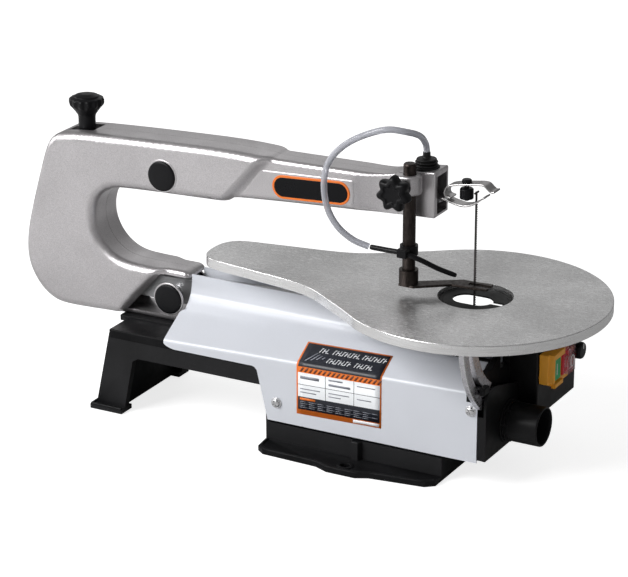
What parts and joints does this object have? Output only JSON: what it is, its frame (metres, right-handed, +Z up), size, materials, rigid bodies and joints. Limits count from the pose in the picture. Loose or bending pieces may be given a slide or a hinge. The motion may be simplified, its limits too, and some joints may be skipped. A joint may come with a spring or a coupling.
{
  "type": "scroll saw",
  "caption": "Benchtop variable-speed scroll saw: C-shaped parallel-arm housing, tilting round-nosed table, pin blade, hold-down post with air blower, cast base.",
  "frame": {"origin": "middle of the footprint, on the surface the base stands on", "axes": "+Z up, +X from the back of the arm to the operator at the table's round nose, +Y to the motor side, which is the operator's right"},
  "size_m": [0.609, 0.254, 0.3306],
  "materials": {
    "arm_paint": "satin silver-grey paint with a fine metal fleck on a casting",
    "base_black": "near-black semi-gloss enamel on cast iron",
    "sheet_silver": "smooth light silver paint on folded sheet",
    "table_ground": "ground casting with fine swirled scratches and a bright turned rim",
    "insert_black": "matt black moulding",
    "trunnion_alloy": "as-cast light alloy with a machined rim",
    "black_plastic": "black moulded plastic, half gloss",
    "soft_black": "black moulded plastic with a fine grain",
    "zinc_steel": "zinc-plated steel",
    "spring_steel": "bright spring steel",
    "blade_steel": "dark hardened blade steel",
    "oxide_steel": "brown-black oxide on a steel rod",
    "arm_alloy": "die-cast light alloy",
    "label_film": "printed film label, white, orange and black",
    "badge_film": "black badge with an orange border",
    "switch_orange": "yellow-orange moulded plastic",
    "start_green": "green moulded plastic",
    "stop_red": "red moulded plastic",
    "flap_clear": "tinted clear plastic flap",
    "bellows_rubber": "black rubber",
    "hose_clear": "clear flexible tube"
  },
  "bodies": {
    "frame": {"base_casting": "base_black", "trunnion_bracket": "base_black", "motor": "base_black", "housing_near": "arm_paint", "housing_far": "arm_paint", "post_clamp": "arm_paint", "side_panel_near": "sheet_silver", "side_panel_far": "sheet_silver", "label_plate": "label_film", "arm_badge": "badge_film", "front_cover": "soft_black", "dust_collar": "soft_black", "dust_port": "soft_black", "switch_box": "soft_black", "cord_gland": "black_plastic", "switch_frame": "switch_orange", "speed_bush": "zinc_steel", "pivot_pin_upper": "zinc_steel", "pivot_pin_lower": "zinc_steel", "air_bellows": "bellows_rubber", "air_hose": "hose_clear", "pivot_cap_upper_near": "black_plastic", "pivot_cap_upper_far": "black_plastic", "pivot_cap_lower_near": "black_plastic", "pivot_cap_lower_far": "black_plastic", "panel_screw_rear_near": "zinc_steel", "panel_screw_rear_far": "zinc_steel", "panel_screw_front_near": "zinc_steel", "panel_screw_front_far": "zinc_steel"},
    "upper_arm": {"upper_arm": "arm_alloy", "blade_clamp_upper": "spring_steel"},
    "upper_screw": {"clamp_screw_upper": "black_plastic"},
    "lower_arm": {"lower_arm": "arm_alloy", "blade_clamp_lower": "spring_steel", "wrist_pin": "zinc_steel"},
    "lower_screw": {"clamp_screw_lower": "black_plastic"},
    "blade": {"blade": "blade_steel"},
    "tension_link": {"tension_rod": "zinc_steel"},
    "tension_knob": {"tension_knob": "black_plastic"},
    "con_rod": {"connecting_rod": "arm_alloy"},
    "crank": {"crank_disc": "zinc_steel"},
    "table": {"table": "table_ground", "table_insert": "insert_black", "tilt_trunnion": "trunnion_alloy"},
    "tilt_lock": {"tilt_lock_knob": "black_plastic"},
    "post": {"hold_down_post": "oxide_steel", "hold_down_foot": "oxide_steel", "nozzle_clip": "black_plastic", "blower_nozzle": "black_plastic"},
    "star_knob": {"star_knob": "black_plastic"},
    "start_button": {"start_button": "start_green"},
    "stop_button": {"stop_button": "stop_red"},
    "stop_flap": {"stop_flap": "flap_clear"},
    "speed_knob": {"speed_knob": "black_plastic"}
  },
  "joints": [
    {"name": "arm_swing", "type": "hinge", "parent": "frame", "child": "upper_arm", "pos_m": [-0.1405, 0, 0.239], "axis": [0, 1, 0], "range_deg": [-1, 1]},
    {"name": "lower_arm_swing", "type": "hinge", "parent": "frame", "child": "lower_arm", "pos_m": [-0.1405, 0, 0.115], "axis": [0, 1, 0], "range_deg": [-1, 1]},
    {"name": "blade_pivot", "type": "hinge", "parent": "upper_arm", "child": "blade", "pos_m": [0.1775, 0, 0.262], "axis": [0, 1, 0], "range_deg": [-1, 1]},
    {"name": "tension_link_pivot", "type": "hinge", "parent": "upper_arm", "child": "tension_link", "pos_m": [-0.2425, 0, 0.243], "axis": [0, 1, 0], "range_deg": [-1, 1]},
    {"name": "con_rod_pivot", "type": "hinge", "parent": "lower_arm", "child": "con_rod", "pos_m": [0.0675, 0.0096, 0.127], "axis": [0, 1, 0], "range_deg": [-1, 1]},
    {"name": "tension_turn", "type": "hinge", "parent": "tension_link", "child": "tension_knob", "pos_m": [-0.2425, 0, 0.275], "axis": [0, 0, 1], "continuous": true},
    {"name": "motor_turn", "type": "hinge", "parent": "frame", "child": "crank", "pos_m": [0.0675, 0.015, 0.067], "axis": [0, 1, 0], "continuous": true},
    {"name": "table_tilt", "type": "hinge", "parent": "frame", "child": "table", "pos_m": [0.1775, 0, 0.165], "axis": [1, 0, 0], "range_deg": [0, 30]},
    {"name": "tilt_lock_turn", "type": "hinge", "parent": "frame", "child": "tilt_lock", "pos_m": [0.2155, -0.0651, 0.10213], "axis": [1, 0, 0], "continuous": true},
    {"name": "post_slide", "type": "slide", "parent": "frame", "child": "post", "axis": [0, 0, 1], "range_m": [-0.006, 0.045]},
    {"name": "star_turn", "type": "hinge", "parent": "frame", "child": "star_knob", "pos_m": [0.1205, -0.05, 0.271], "axis": [0, 1, 0], "continuous": true},
    {"name": "upper_screw_turn", "type": "hinge", "parent": "upper_arm", "child": "upper_screw", "pos_m": [0.1665, 0, 0.265], "axis": [0, 0, 1], "continuous": true},
    {"name": "lower_screw_turn", "type": "hinge", "parent": "lower_arm", "child": "lower_screw", "pos_m": [0.1799, 0, 0.1278], "axis": [0, 1, 0], "continuous": true},
    {"name": "start_press", "type": "slide", "parent": "frame", "child": "start_button", "axis": [-1, 0, 0], "range_m": [0, 0.003], "stiffness_N_per_m": 300},
    {"name": "stop_press", "type": "slide", "parent": "frame", "child": "stop_button", "axis": [-1, 0, 0], "range_m": [0, 0.003], "stiffness_N_per_m": 300},
    {"name": "stop_flap_lift", "type": "hinge", "parent": "frame", "child": "stop_flap", "pos_m": [0.2501, 0.05, 0.1148], "axis": [0, -1, 0], "range_deg": [0, 90]},
    {"name": "speed_turn", "type": "hinge", "parent": "frame", "child": "speed_knob", "pos_m": [0.2475, 0.0685, 0.1016], "axis": [1, 0, 0], "range_deg": [0, 280]}
  ],
  "couplings": [
    {"joint": "lower_arm_swing", "follows": "arm_swing", "ratio": 1},
    {"joint": "blade_pivot", "follows": "arm_swing", "ratio": -1},
    {"joint": "tension_link_pivot", "follows": "arm_swing", "ratio": -1},
    {"joint": "con_rod_pivot", "follows": "arm_swing", "ratio": -1}
  ]
}
